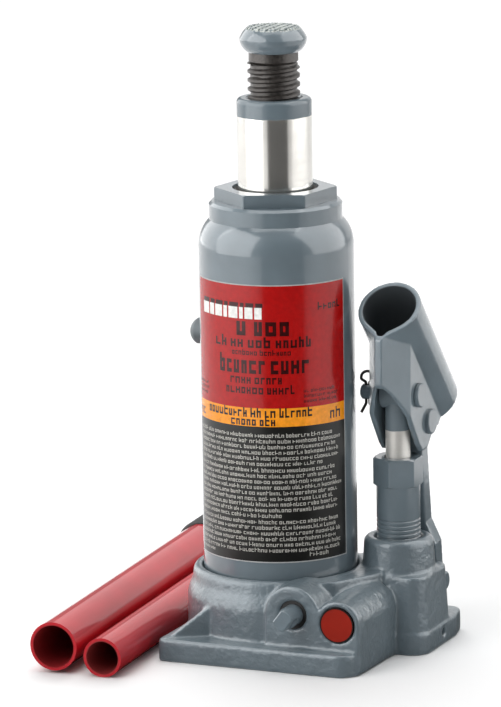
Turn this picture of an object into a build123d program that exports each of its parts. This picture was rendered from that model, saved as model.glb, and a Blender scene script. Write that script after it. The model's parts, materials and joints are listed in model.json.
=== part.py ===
"""Six-tonne hydraulic bottle jack with its two-piece pump handle, as separate pieces.

Millimetres, +Z up. The origin is the ram's axis on the underside of the base. The front, with the
release valve and the safety valve cap, faces -Y, and the hand pump stands on the +X side.
"""
import os
from math import acos, asin, cos, radians, sin

from build123d import *

os.makedirs("parts", exist_ok=True)

# ---- driving dimensions ------------------------------------------------------------------------
RUN = 0.05                      # radial clearance of a shaft that turns or slides in its bore

# base casting
FOOT_HEIGHT = 10.4
FOOT_LEFT, FOOT_RIGHT = -40.0, 55.0
FOOT_FRONT, FOOT_REAR = -50.0, 52.0
BODY_RADIUS, BODY_RIM_RADIUS = 42.5, 39.5
BODY_TOP = 38.0
SEAT_Z = 34.0                   # floor of the groove that the reservoir stands in
CYLINDER_SEAT_Z = 26.0

# reservoir and pressure cylinder
RESERVOIR_RADIUS, RESERVOIR_WALL = 35.0, 2.5
RESERVOIR_NECK_RADIUS = 30.0
RESERVOIR_TOP = 205.0
CYLINDER_RADIUS, CYLINDER_BORE = 24.0, 19.0
CYLINDER_TOP = 200.0
GASKET = 1.2

# ram, extension screw and saddle, shown part way out
RAM_RADIUS = 16.85
RAM_TOP, RAM_LENGTH = 251.5, 187.5
RAM_BOTTOM = RAM_TOP - RAM_LENGTH
PISTON_RADIUS = CYLINDER_BORE - RUN
SCREW_RADIUS, SCREW_PITCH, THREAD_DEPTH = 11.75, 4.0, 1.3
SCREW_TOP, SCREW_BOTTOM = 268.0, 180.0
SADDLE_TOP, SADDLE_RADIUS = 283.3, 15.05
NUT_FLATS, NUT_TOP = 48.0, 211.0

# hand pump
PUMP_X, PUMP_Y = 51.5, 16.0
PUMP_SEAT_Z = 30.0
COLLAR_RADIUS, COLLAR_BASE, COLLAR_TOP = 15.7, 35.6, 51.0
BARREL_RADIUS = 9.95
BARREL_NUT_BASE, BARREL_NUT_TOP, BARREL_NUT_FLATS = 74.5, 87.5, 20.0
PLUNGER_RADIUS = 5.6
PLUNGER_BOTTOM = 42.0

# pump linkage: pivots as (y, z)
PLUNGER_PIVOT = (16.0, 116.3)
LINK_PIVOT = (29.9, 101.4)
BASE_PIVOT = (39.5, 25.0)
PIN_RADIUS, PIN_HEAD_RADIUS, PIN_HEAD = 3.5, 5.5, 1.8
OPEN_PIVOT_CLEARANCE = 1.6     # the link's upper eye hangs loose round its pin
EAR_OUTER, EAR_INNER = 10.0, 7.5
LINK_HALF_WIDTH, FORK_HALF_WIDTH, FORK_GAP = 6.9, 11.0, 7.2

# handle socket
SOCKET_TILT = 48.0              # degrees that the mouth looks up from level
SOCKET_RADIUS, SOCKET_BORE = 14.5, 12.1
SOCKET_OFFSET = 21.0            # from the plunger pin to the tube's axis
SOCKET_MOUTH, SOCKET_TAIL = 36.5, -31.0

# valves in the base
RELEASE_X, RELEASE_Z = 24.0, 25.5
SAFETY_X, SAFETY_Z = 45.5, 22.7
FACE_Y = -44.0
SPINDLE_RADIUS, SEAL_RADIUS = 4.8, 6.6
CAP_RADIUS = 8.0

# pump handle, lying on the floor beside the base
BIG_TUBE_RADIUS, SMALL_TUBE_RADIUS, TUBE_WALL = 11.1, 9.0, 1.5
BIG_TUBE_LENGTH, SMALL_TUBE_LENGTH = 290.0, 270.0
GRIP_START, GRIP_WALL = 193.0, 1.4
BIG_TUBE_MOUTH, BIG_TUBE_HEADING = (-74.5, -85.5), 93.9
SMALL_TUBE_MOUTH, SMALL_TUBE_HEADING = (-51.2, -84.0), 93.6

# label on the reservoir
LABEL_BOTTOM, LABEL_TOP, LABEL_THICKNESS = 45.8, 172.5, 0.15
LABEL_CENTRE, LABEL_HALF_ANGLE = 12.5, 68.3      # degrees from the front towards the pump

# filler plug
FILLER_Z, FILLER_RADIUS, FILLER_STANDOFF = 142.5, 5.9, 7.5

PUMP_AXIS = Axis((PUMP_X, PUMP_Y, 0), (0, 0, 1))
PUMP_SECTION = Plane(origin=(PUMP_X, PUMP_Y, 0), x_dir=(1, 0, 0), z_dir=(0, -1, 0))
TILT = radians(SOCKET_TILT)
TUBE_OUT = Vector(0, -cos(TILT), sin(TILT))
TUBE_UP = Vector(0, sin(TILT), cos(TILT))
PLUNGER_PIN_AT = Vector(PUMP_X, *PLUNGER_PIVOT)
SOCKET_SIDE = Plane(origin=PLUNGER_PIN_AT, x_dir=TUBE_OUT, z_dir=(1, 0, 0))


def side_plane(x):
    """Plane across X whose own axes are Y and Z."""
    return Plane(origin=(x, 0, 0), x_dir=(0, 1, 0), z_dir=(1, 0, 0))


def front_plane(y):
    """Plane facing the front whose own axes are X and Z."""
    return Plane(origin=(0, y, 0), x_dir=(1, 0, 0), z_dir=(0, -1, 0))


def along_y(x, z, y):
    """Plane across Y that extrudes towards the rear."""
    return Plane(origin=(x, y, z), x_dir=(1, 0, 0), z_dir=(0, 1, 0))


def pin_plane(x, pivot):
    """Plane across X at a pivot of the linkage."""
    return Plane(origin=(x, *pivot), x_dir=(0, 1, 0), z_dir=(1, 0, 0))


def outline(points, plane=Plane.XZ):
    """Closed straight-sided face on a plane."""
    with BuildSketch(plane) as face:
        with BuildLine():
            Polyline(*points, close=True)
        make_face()
    return face.sketch


def tombstone(x, z, radius, foot, y):
    """Round-topped face that stands on the height foot."""
    with BuildSketch(front_plane(y)) as face:
        with Locations((x, z)):
            Circle(radius)
        with Locations((x, (z + foot) / 2)):
            Rectangle(2 * radius, z - foot)
    return face.sketch


def disc(radius, plane):
    """Round face on a plane, centred on its origin."""
    with BuildSketch(plane) as face:
        Circle(radius)
    return face.sketch


def finish(part, name):
    """Label a finished piece and write its file."""
    part.label = name
    export_step(part, f"parts/{name}.step")


# ---- base casting ------------------------------------------------------------------------------
BOSS_LEFT, BOSS_RIGHT, BOSS_FRONT, BOSS_REAR = 34.0, 71.0, -3.5, 36.5
BOSS_CORNER = 9.0
REAR_CORNER_X = 68.0
WEB_TOP = 37.5
SAFETY_BOSS_RADIUS, SAFETY_BOSS_LENGTH = 10.6, 41.0
RELEASE_BOSS_RADIUS, RELEASE_BOSS_LENGTH = 13.0, 20.0
GUSSET_HALF_WIDTH, GUSSET_TOP = 2.0, 25.0
LUG_RADIUS, LUG_HALF_WIDTH = 6.5, FORK_GAP - 0.5
VALVE_BORE = 5.0
SIDE_HOLE_AT, SIDE_HOLE_RADIUS, SIDE_HOLE_DEPTH = (22.0, 5.7), 1.9, 13.0
GROOVE_RADIUS = RESERVOIR_RADIUS + 0.6
PILOT_RADIUS = RESERVOIR_RADIUS - RESERVOIR_WALL - 0.5

with BuildPart() as base:
    with BuildSketch() as foot:
        with BuildLine():
            Polyline(
                (FOOT_LEFT, FOOT_FRONT), (FOOT_RIGHT, FOOT_FRONT), (FOOT_RIGHT, BOSS_FRONT),
                (BOSS_RIGHT, BOSS_FRONT), (BOSS_RIGHT, BOSS_REAR), (REAR_CORNER_X, FOOT_REAR),
                (FOOT_LEFT, FOOT_REAR), close=True)
        make_face()
        for corner, radius in (((FOOT_LEFT, FOOT_FRONT), 3), ((FOOT_RIGHT, FOOT_FRONT), 9),
                               ((BOSS_RIGHT, BOSS_FRONT), BOSS_CORNER), ((REAR_CORNER_X, FOOT_REAR), 6),
                               ((FOOT_LEFT, FOOT_REAR), 8)):
            fillet(foot.vertices().sort_by_distance(corner)[0], radius)
    extrude(amount=FOOT_HEIGHT)
    fillet(base.edges().group_by(Axis.Z)[-1], 1.5)
    revolve(outline([
        (0, 0.5), (BODY_RADIUS, 0.5), (BODY_RADIUS, 25), (BODY_RADIUS - 0.8, 28),
        (BODY_RIM_RADIUS + 0.6, 32), (BODY_RIM_RADIUS, 36.5), (BODY_RIM_RADIUS - 1.5, BODY_TOP),
        (0, BODY_TOP)]), axis=Axis.Z)
    # boss under the pump, its upper collar, and the web that joins it to the round body
    with BuildSketch() as boss:
        with Locations(((BOSS_LEFT + BOSS_RIGHT) / 2, (BOSS_FRONT + BOSS_REAR) / 2)):
            RectangleRounded(BOSS_RIGHT - BOSS_LEFT, BOSS_REAR - BOSS_FRONT, BOSS_CORNER)
    extrude(amount=COLLAR_BASE, taper=3.5)
    revolve(outline([
        (0, COLLAR_BASE - 2), (COLLAR_RADIUS + 0.9, COLLAR_BASE - 2),
        (COLLAR_RADIUS + 0.9, COLLAR_BASE + 1), (COLLAR_RADIUS, COLLAR_TOP - 1.5),
        (COLLAR_RADIUS - 1.5, COLLAR_TOP), (0, COLLAR_TOP)], PUMP_SECTION), axis=PUMP_AXIS)
    with BuildSketch() as web:
        with BuildLine():
            Polyline((24, -33), (37, -27), (47, -10), (52, 4), (50, 30), (28, 33), close=True)
        make_face()
        fillet(web.vertices().sort_by_distance((37, -27))[0], 8)
    extrude(amount=WEB_TOP)
    # boss of the safety valve, which runs back into the pump boss
    extrude(tombstone(SAFETY_X, SAFETY_Z, SAFETY_BOSS_RADIUS, 1, FACE_Y), amount=-SAFETY_BOSS_LENGTH,
            taper=-1.5)
    # boss of the release valve
    extrude(tombstone(RELEASE_X - 0.5, RELEASE_Z, RELEASE_BOSS_RADIUS, 1, FACE_Y),
            amount=-RELEASE_BOSS_LENGTH, taper=-2)
    # gusset from the front left corner of the foot up to the round body
    with BuildSketch(Plane(origin=(-37.2, -46.5, 0), x_dir=(0.87, 0.493, 0), z_dir=(0.493, -0.87, 0))):
        with BuildLine():
            Polyline((0, 2), (0, FOOT_HEIGHT + 0.6), (2.5, FOOT_HEIGHT + 0.8), (21, GUSSET_TOP),
                     (40, GUSSET_TOP), (40, 2), close=True)
        make_face()
    extrude(amount=GUSSET_HALF_WIDTH, both=True)
    # lug that the pump link pivots on
    with BuildSketch(side_plane(PUMP_X)):
        with Locations(BASE_PIVOT):
            Circle(LUG_RADIUS)
        with Locations((BASE_PIVOT[0] - LUG_RADIUS, BASE_PIVOT[1] - 2)):
            Rectangle(2 * LUG_RADIUS, 2 * LUG_RADIUS + 4)
    extrude(amount=LUG_HALF_WIDTH, both=True)
    # clearance for the two fork legs of the link
    for side in (-1, 1):
        with BuildSketch(side_plane(PUMP_X + side * LUG_HALF_WIDTH)):
            with Locations(BASE_PIVOT):
                Circle(7.6)
            with Locations((BASE_PIVOT[0] - 1, BASE_PIVOT[1] + 12)):
                Rectangle(15, 24)
        extrude(amount=side * 5.2, mode=Mode.SUBTRACT)
    extrude(disc(PIN_RADIUS, pin_plane(PUMP_X, BASE_PIVOT)), amount=FORK_HALF_WIDTH + 3, both=True,
            mode=Mode.SUBTRACT)
    # flat that clears the link behind the collar, and the level underside
    with BuildSketch(side_plane(PUMP_X)):
        with Locations((BASE_PIVOT[0] - 2, COLLAR_BASE + 9)):
            Rectangle(12, 20)
    extrude(amount=FORK_HALF_WIDTH + 1, both=True, mode=Mode.SUBTRACT)
    split(bisect_by=Plane.XY, keep=Keep.TOP)
    # groove of the reservoir, seat of the pressure cylinder, oil space between them
    revolve(outline([
        (0, CYLINDER_SEAT_Z), (CYLINDER_RADIUS + RUN, CYLINDER_SEAT_Z), (CYLINDER_RADIUS + RUN, 31),
        (PILOT_RADIUS, 31), (PILOT_RADIUS, SEAT_Z), (GROOVE_RADIUS, SEAT_Z), (GROOVE_RADIUS, COLLAR_TOP),
        (0, COLLAR_TOP)]), axis=Axis.Z, mode=Mode.SUBTRACT)
    # pump bore: barrel seat, working chamber, suction valve seat and its cross drilling
    revolve(outline([
        (0, 9), (1.5, 9), (1.5, 14), (3.2, 15.7), (3.2, 22), (6.2, 22), (6.2, PUMP_SEAT_Z),
        (BARREL_RADIUS + RUN, PUMP_SEAT_Z), (BARREL_RADIUS + RUN, COLLAR_TOP - 3),
        (BARREL_RADIUS + 1.3, COLLAR_TOP - 1.5), (BARREL_RADIUS + 1.3, COLLAR_TOP + 1),
        (0, COLLAR_TOP + 1)], PUMP_SECTION), axis=PUMP_AXIS, mode=Mode.SUBTRACT)
    extrude(disc(SIDE_HOLE_RADIUS, pin_plane(BOSS_RIGHT, SIDE_HOLE_AT)), amount=-SIDE_HOLE_DEPTH,
            mode=Mode.SUBTRACT)
    # safety valve bore from the front face to the pump chamber
    for radius, start, stop in ((CAP_RADIUS + RUN, FACE_Y - 1, FACE_Y + 2.6),
                                (VALVE_BORE, FACE_Y, -14)):
        extrude(disc(radius, along_y(SAFETY_X, SAFETY_Z, start)), amount=stop - start, mode=Mode.SUBTRACT)
    extrude(disc(1.2, along_y(SAFETY_X + 1.6, SAFETY_Z, -15)), amount=28, mode=Mode.SUBTRACT)
    # release valve bore from the front face to the drain of the pressure cylinder
    for radius, start, stop in ((SEAL_RADIUS, FACE_Y - 1, FACE_Y + 2.4),
                                (SPINDLE_RADIUS + RUN, FACE_Y, -19), (1.4, -20, -8)):
        extrude(disc(radius, along_y(RELEASE_X, RELEASE_Z, start)), amount=stop - start, mode=Mode.SUBTRACT)
    # discharge valve pocket in the floor of the pressure cylinder
    revolve(outline([(0, 12), (1.4, 12), (1.4, 14), (3.4, 16), (3.4, CYLINDER_SEAT_Z + 1),
                     (0, CYLINDER_SEAT_Z + 1)]), axis=Axis.Z, mode=Mode.SUBTRACT)
finish(base.part, "base")

# ---- reservoir and pressure cylinder -----------------------------------------------------------
GASKET_TOP = SEAT_Z + GASKET
INNER = RESERVOIR_RADIUS - RESERVOIR_WALL
NECK_BASE = 197.0
CROWN_BASE = 185.0

with BuildPart() as reservoir_tube:
    with BuildSketch(Plane.XZ):
        with BuildLine():
            Polyline((INNER, GASKET_TOP), (RESERVOIR_RADIUS, GASKET_TOP), (RESERVOIR_RADIUS, CROWN_BASE))
            TangentArc((RESERVOIR_RADIUS, CROWN_BASE), (RESERVOIR_NECK_RADIUS, NECK_BASE), tangent=(0, 1))
            Polyline((RESERVOIR_NECK_RADIUS, NECK_BASE), (RESERVOIR_NECK_RADIUS, RESERVOIR_TOP - 1.2),
                     (RESERVOIR_NECK_RADIUS - 1.2, RESERVOIR_TOP), (CYLINDER_RADIUS + 0.3, RESERVOIR_TOP),
                     (CYLINDER_RADIUS + 0.3, NECK_BASE - 3), (26, NECK_BASE - 3))
            ThreePointArc((26, NECK_BASE - 3), (30.8, 190.8), (INNER, CROWN_BASE))
            Line((INNER, CROWN_BASE), (INNER, GASKET_TOP))
        make_face()
    revolve(axis=Axis.Z)
    extrude(disc(3.6, Plane(origin=(0, 0, FILLER_Z), x_dir=(0, 1, 0), z_dir=(-1, 0, 0))),
            amount=RESERVOIR_RADIUS + 5, mode=Mode.SUBTRACT)
finish(reservoir_tube.part, "reservoir_tube")

with BuildPart() as reservoir_gasket:
    revolve(outline([(INNER, SEAT_Z), (RESERVOIR_RADIUS, SEAT_Z), (RESERVOIR_RADIUS, GASKET_TOP),
                     (INNER, GASKET_TOP)]), axis=Axis.Z)
finish(reservoir_gasket.part, "reservoir_gasket")

with BuildPart() as cylinder_gasket:
    revolve(outline([(19.5, CYLINDER_SEAT_Z), (CYLINDER_RADIUS - 0.3, CYLINDER_SEAT_Z),
                     (CYLINDER_RADIUS - 0.3, CYLINDER_SEAT_Z + GASKET), (19.5, CYLINDER_SEAT_Z + GASKET)]),
            axis=Axis.Z)
finish(cylinder_gasket.part, "cylinder_gasket")

with BuildPart() as pressure_cylinder:
    revolve(outline([
        (CYLINDER_BORE, CYLINDER_SEAT_Z + GASKET), (CYLINDER_RADIUS, CYLINDER_SEAT_Z + GASKET),
        (CYLINDER_RADIUS, CYLINDER_TOP), (CYLINDER_BORE, CYLINDER_TOP)]), axis=Axis.Z)
    chamfer(pressure_cylinder.edges().group_by(Axis.Z)[-1], 0.8)
finish(pressure_cylinder.part, "pressure_cylinder")

# gland nut that closes the top, guides the ram and holds the whole stack together
GLAND_BASE = 183.0
WIPER_BASE, WIPER_RADIUS = 206.5, 19.4

with BuildPart() as top_nut:
    with BuildSketch(Plane.XY.offset(RESERVOIR_TOP)):
        RegularPolygon(NUT_FLATS / 2, 6, major_radius=False, rotation=21.5)
    extrude(amount=NUT_TOP - RESERVOIR_TOP)
    fillet(top_nut.edges().filter_by(Axis.Z), 1.0)
    # chamfered crown of the hexagon
    revolve(outline([(26.6, NUT_TOP + 0.1), (32, NUT_TOP + 0.1), (32, NUT_TOP - 3)]),
            axis=Axis.Z, mode=Mode.SUBTRACT)
    revolve(outline([(0, GLAND_BASE), (CYLINDER_BORE - RUN, GLAND_BASE),
                     (CYLINDER_BORE - RUN, CYLINDER_TOP + 1), (CYLINDER_RADIUS, CYLINDER_TOP + 1),
                     (CYLINDER_RADIUS, RESERVOIR_TOP),
                     (0, RESERVOIR_TOP)]), axis=Axis.Z)
    revolve(outline([
        (0, GLAND_BASE - 1), (RAM_RADIUS + RUN, GLAND_BASE - 1), (RAM_RADIUS + RUN, WIPER_BASE),
        (WIPER_RADIUS, WIPER_BASE), (WIPER_RADIUS, NUT_TOP + 1), (0, NUT_TOP + 1)]),
            axis=Axis.Z, mode=Mode.SUBTRACT)
finish(top_nut.part, "top_nut")

with BuildPart() as ram_wiper:
    revolve(outline([
        (RAM_RADIUS + RUN, WIPER_BASE), (WIPER_RADIUS, WIPER_BASE), (WIPER_RADIUS, NUT_TOP - 1),
        (RAM_RADIUS + 0.9, NUT_TOP - 0.6), (RAM_RADIUS + RUN, NUT_TOP - 1.6)]), axis=Axis.Z)
finish(ram_wiper.part, "ram_wiper")

# ---- ram ---------------------------------------------------------------------------------------
SCREW_BORE = SCREW_RADIUS + 0.08
RELIEF_BORE = 13.2
BORE_NECK = RAM_TOP - 22
BORE_FLOOR = 156.0

with BuildPart() as ram:
    with BuildSketch(Plane.XZ):
        with BuildLine():
            Polyline(
                (0, RAM_BOTTOM), (13.0, RAM_BOTTOM), (13.0, RAM_BOTTOM + 7), (16.0, RAM_BOTTOM + 7),
                (16.0, RAM_BOTTOM + 11), (RAM_RADIUS, RAM_BOTTOM + 11), (RAM_RADIUS, RAM_TOP - 2))
            ThreePointArc((RAM_RADIUS, RAM_TOP - 2), (RAM_RADIUS - 0.59, RAM_TOP - 0.59),
                          (RAM_RADIUS - 2, RAM_TOP))
            Polyline(
                (RAM_RADIUS - 2, RAM_TOP), (SCREW_BORE + 1.0, RAM_TOP), (SCREW_BORE, RAM_TOP - 1.0),
                (SCREW_BORE, BORE_NECK), (RELIEF_BORE, BORE_NECK - 1.4), (RELIEF_BORE, BORE_FLOOR),
                (0, BORE_FLOOR - 6), (0, RAM_BOTTOM))
        make_face()
    revolve(axis=Axis.Z)
finish(ram.part, "ram")

with BuildPart() as piston_cup:
    revolve(outline([
        (13.0, RAM_BOTTOM), (PISTON_RADIUS - 1.6, RAM_BOTTOM), (PISTON_RADIUS, RAM_BOTTOM + 1.6),
        (PISTON_RADIUS, RAM_BOTTOM + 7), (13.0, RAM_BOTTOM + 7)]), axis=Axis.Z)
finish(piston_cup.part, "piston_cup")

with BuildPart() as piston_wear_ring:
    revolve(outline([
        (16.0, RAM_BOTTOM + 7), (PISTON_RADIUS, RAM_BOTTOM + 7), (PISTON_RADIUS, RAM_BOTTOM + 11),
        (16.0, RAM_BOTTOM + 11)]), axis=Axis.Z)
finish(piston_wear_ring.part, "piston_wear_ring")

# ---- extension screw and saddle ----------------------------------------------------------------
SHANK_RADIUS = SCREW_RADIUS - THREAD_DEPTH - 0.25
STOP_RING_BASE, STOP_RING_TOP = 183.0, 187.0
THREAD_BOTTOM = STOP_RING_TOP + 3
THREAD_TURNS = 21                # run out past both ends of the threaded length
SADDLE_BASE = 272.0
SPIGOT_RADIUS = 9.0

with BuildPart() as thread_groove:
    with BuildLine() as thread_path:
        Helix(pitch=SCREW_PITCH, height=THREAD_TURNS * SCREW_PITCH, radius=SCREW_RADIUS,
              center=(0, 0, THREAD_BOTTOM - 3))
    with BuildSketch(Plane(origin=thread_path.line @ 0, x_dir=(1, 0, 0), z_dir=(0, 1, 0))):
        with BuildLine():
            Polyline((-THREAD_DEPTH, -0.65), (0.6, -1.85), (0.6, 1.85), (-THREAD_DEPTH, 0.65), close=True)
        make_face()
    sweep(path=thread_path.line, is_frenet=True)

with BuildPart() as extension_screw:
    # neck of the stop ring, then the chamfered start of the thread
    revolve(outline([
        (0, SCREW_BOTTOM), (8.5, SCREW_BOTTOM), (9.0, SCREW_BOTTOM + 0.5), (9.0, THREAD_BOTTOM - 2.75),
        (SCREW_RADIUS, THREAD_BOTTOM), (SCREW_RADIUS, SCREW_TOP - 1), (0, SCREW_TOP - 1)]), axis=Axis.Z)
    add(thread_groove.part, mode=Mode.SUBTRACT)
    # plain shoulder and the spigot that holds the saddle
    revolve(outline([
        (0, SCREW_TOP - 1), (SHANK_RADIUS, SCREW_TOP - 1), (11.1, SCREW_TOP), (11.1, SADDLE_BASE),
        (SPIGOT_RADIUS, SADDLE_BASE), (SPIGOT_RADIUS, SADDLE_BASE + 8), (0, SADDLE_BASE + 8)]), axis=Axis.Z)
finish(extension_screw.part, "extension_screw")

with BuildPart() as screw_stop_ring:
    revolve(outline([(9.0, STOP_RING_BASE), (RELIEF_BORE - 0.4, STOP_RING_BASE),
                     (RELIEF_BORE - 0.4, STOP_RING_TOP), (9.0, STOP_RING_TOP)]), axis=Axis.Z)
finish(screw_stop_ring.part, "screw_stop_ring")

with BuildPart() as saddle:
    with BuildSketch(Plane.XZ):
        with BuildLine():
            Polyline((SPIGOT_RADIUS, SADDLE_BASE), (11.6, SADDLE_BASE))
            ThreePointArc((11.6, SADDLE_BASE), (14.2, SADDLE_BASE + 2.7), (SADDLE_RADIUS, SADDLE_BASE + 6.2))
            ThreePointArc((SADDLE_RADIUS, SADDLE_BASE + 6.2), (14.1, SADDLE_TOP - 3.2), (11.3, SADDLE_TOP))
            Polyline((11.3, SADDLE_TOP), (0, SADDLE_TOP), (0, SADDLE_BASE + 8),
                     (SPIGOT_RADIUS, SADDLE_BASE + 8), (SPIGOT_RADIUS, SADDLE_BASE))
        make_face()
    revolve(axis=Axis.Z)
    # crossed grip grooves in the top
    with BuildSketch(Plane.XY.offset(SADDLE_TOP)):
        with GridLocations(3.6, 0, 6, 1):
            Rectangle(1.0, 40)
        with GridLocations(0, 3.6, 1, 6):
            Rectangle(40, 1.0)
    extrude(amount=-0.8, mode=Mode.SUBTRACT)
finish(saddle.part, "saddle")

# ---- filler plug and label ---------------------------------------------------------------------
FLANGE = RESERVOIR_RADIUS + 0.6
DOME = RESERVOIR_RADIUS + FILLER_STANDOFF
DOME_RISE = 3.5
DOME_CURVE = (FILLER_RADIUS ** 2 + DOME_RISE ** 2) / (2 * DOME_RISE)
DOME_MIDDLE = asin(FILLER_RADIUS / DOME_CURVE) / 2

with BuildPart() as filler_plug:
    # drawn outwards along its own axis: stem, lip inside the wall, flange and domed head
    with BuildSketch(Plane.XZ):
        with BuildLine():
            Polyline((0, INNER - 3), (2.8, INNER - 3), (3.5, INNER - 1), (3.5, FLANGE),
                     (FILLER_RADIUS, FLANGE), (FILLER_RADIUS, DOME - DOME_RISE))
            ThreePointArc((FILLER_RADIUS, DOME - DOME_RISE),
                          (DOME_CURVE * sin(DOME_MIDDLE), DOME - DOME_CURVE * (1 - cos(DOME_MIDDLE))),
                          (0, DOME))
            Line((0, DOME), (0, INNER - 3))
        make_face()
    revolve(axis=Axis.Z)
filler_plug.part.locate(Location((0, 0, FILLER_Z), (0, -90, 0)))
finish(filler_plug.part, "filler_plug")

LABEL_LEFT = -90 + LABEL_CENTRE - LABEL_HALF_ANGLE
LABEL_RIGHT = -90 + LABEL_CENTRE + LABEL_HALF_ANGLE

with BuildPart() as label:
    with BuildSketch(Plane.XY.offset(LABEL_BOTTOM)):
        with BuildLine():
            CenterArc((0, 0), RESERVOIR_RADIUS, LABEL_LEFT, LABEL_RIGHT - LABEL_LEFT)
            CenterArc((0, 0), RESERVOIR_RADIUS + LABEL_THICKNESS, LABEL_LEFT, LABEL_RIGHT - LABEL_LEFT)
            for end in (LABEL_LEFT, LABEL_RIGHT):
                PolarLine((RESERVOIR_RADIUS * cos(radians(end)), RESERVOIR_RADIUS * sin(radians(end))),
                          LABEL_THICKNESS, end)
        make_face()
    extrude(amount=LABEL_TOP - LABEL_BOTTOM)
finish(label.part, "label")

# ---- valves in the base ------------------------------------------------------------------------
def spring(radius, wire, height, turns, centre, direction):
    """Helical compression spring as one swept wire."""
    with BuildLine() as path:
        Helix(pitch=height / turns, height=height, radius=radius, center=centre, direction=direction)
    with BuildSketch(Plane(origin=path.line @ 0, z_dir=path.line % 0)) as section:
        Circle(wire / 2)
    with BuildPart() as coil:
        sweep(section.sketch, path=path.line, is_frenet=True)
    return coil.part


with BuildPart() as valve_cap:
    extrude(disc(CAP_RADIUS, along_y(SAFETY_X, SAFETY_Z, FACE_Y - 0.4)), amount=1.6)
    extrude(disc(VALVE_BORE - RUN, along_y(SAFETY_X, SAFETY_Z, FACE_Y + 1)), amount=5)
finish(valve_cap.part, "valve_cap")

with BuildPart() as safety_valve_screw:
    extrude(disc(VALVE_BORE - RUN, along_y(SAFETY_X, SAFETY_Z, -36)), amount=8)
    with BuildSketch(along_y(SAFETY_X, SAFETY_Z, -36)):
        Rectangle(1.2, 7.5)
    extrude(amount=1.5, mode=Mode.SUBTRACT)
finish(safety_valve_screw.part, "safety_valve_screw")

SAFETY_BALL = 2.4
with BuildPart() as safety_valve_ball:
    with Locations((SAFETY_X, -14 - SAFETY_BALL, SAFETY_Z)):
        Sphere(SAFETY_BALL)
finish(safety_valve_ball.part, "safety_valve_ball")

safety_valve_spring = spring(3.2, 1.1, 8.2, 4, (SAFETY_X, -27.4, SAFETY_Z), (0, 1, 0))
finish(safety_valve_spring, "safety_valve_spring")

TANG_WIDTH = 6.7
ORING_INNER = SPINDLE_RADIUS - 1.4
with BuildPart() as release_valve:
    extrude(disc(SPINDLE_RADIUS, along_y(RELEASE_X, RELEASE_Z, FACE_Y - 5.5)), amount=26)
    with BuildSketch(along_y(RELEASE_X, RELEASE_Z, FACE_Y - 5.5)):
        Circle(SPINDLE_RADIUS)
        Rectangle(TANG_WIDTH, 12, rotation=38, mode=Mode.INTERSECT)
    extrude(amount=-6)
    chamfer(release_valve.edges().group_by(Axis.Y)[0], 0.5)
    # groove of the O-ring, then the cone that holds the ball on its seat
    revolve(outline([(ORING_INNER, -37), (SPINDLE_RADIUS + 1, -37), (SPINDLE_RADIUS + 1, -35),
                     (ORING_INNER, -35)],
                    Plane(origin=(RELEASE_X, 0, RELEASE_Z), x_dir=(1, 0, 0), z_dir=(0, 0, 1))),
            axis=Axis((RELEASE_X, 0, RELEASE_Z), (0, 1, 0)), mode=Mode.SUBTRACT)
finish(release_valve.part, "release_valve")

with BuildPart() as release_valve_oring:
    with Locations(Location((RELEASE_X, -36, RELEASE_Z), (90, 0, 0))):
        Torus((SPINDLE_RADIUS + RUN + ORING_INNER) / 2, (SPINDLE_RADIUS + RUN - ORING_INNER) / 2)
finish(release_valve_oring.part, "release_valve_oring")

with BuildPart() as release_valve_seal:
    with BuildSketch(along_y(RELEASE_X, RELEASE_Z, FACE_Y + 0.9)):
        Circle(SEAL_RADIUS)
        Circle(SPINDLE_RADIUS + RUN, mode=Mode.SUBTRACT)
    extrude(amount=1.5)
finish(release_valve_seal.part, "release_valve_seal")

with BuildPart() as release_valve_ball:
    with Locations((RELEASE_X, -21.3, RELEASE_Z)):
        Sphere(2.2)
finish(release_valve_ball.part, "release_valve_ball")

with BuildPart() as suction_ball:
    with Locations((PUMP_X, PUMP_Y, 17.9)):
        Sphere(2.9)
finish(suction_ball.part, "suction_ball")

with BuildPart() as discharge_ball:
    with Locations((0, 0, 18.2)):
        Sphere(3.0)
finish(discharge_ball.part, "discharge_ball")

discharge_spring = spring(2.5, 0.7, 4.2, 3, (0, 0, 21.6), (0, 0, 1))
finish(discharge_spring, "discharge_spring")

# ---- hand pump ---------------------------------------------------------------------------------
THREAD_ZONE = (COLLAR_TOP - 4, COLLAR_TOP + 9)

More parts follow.
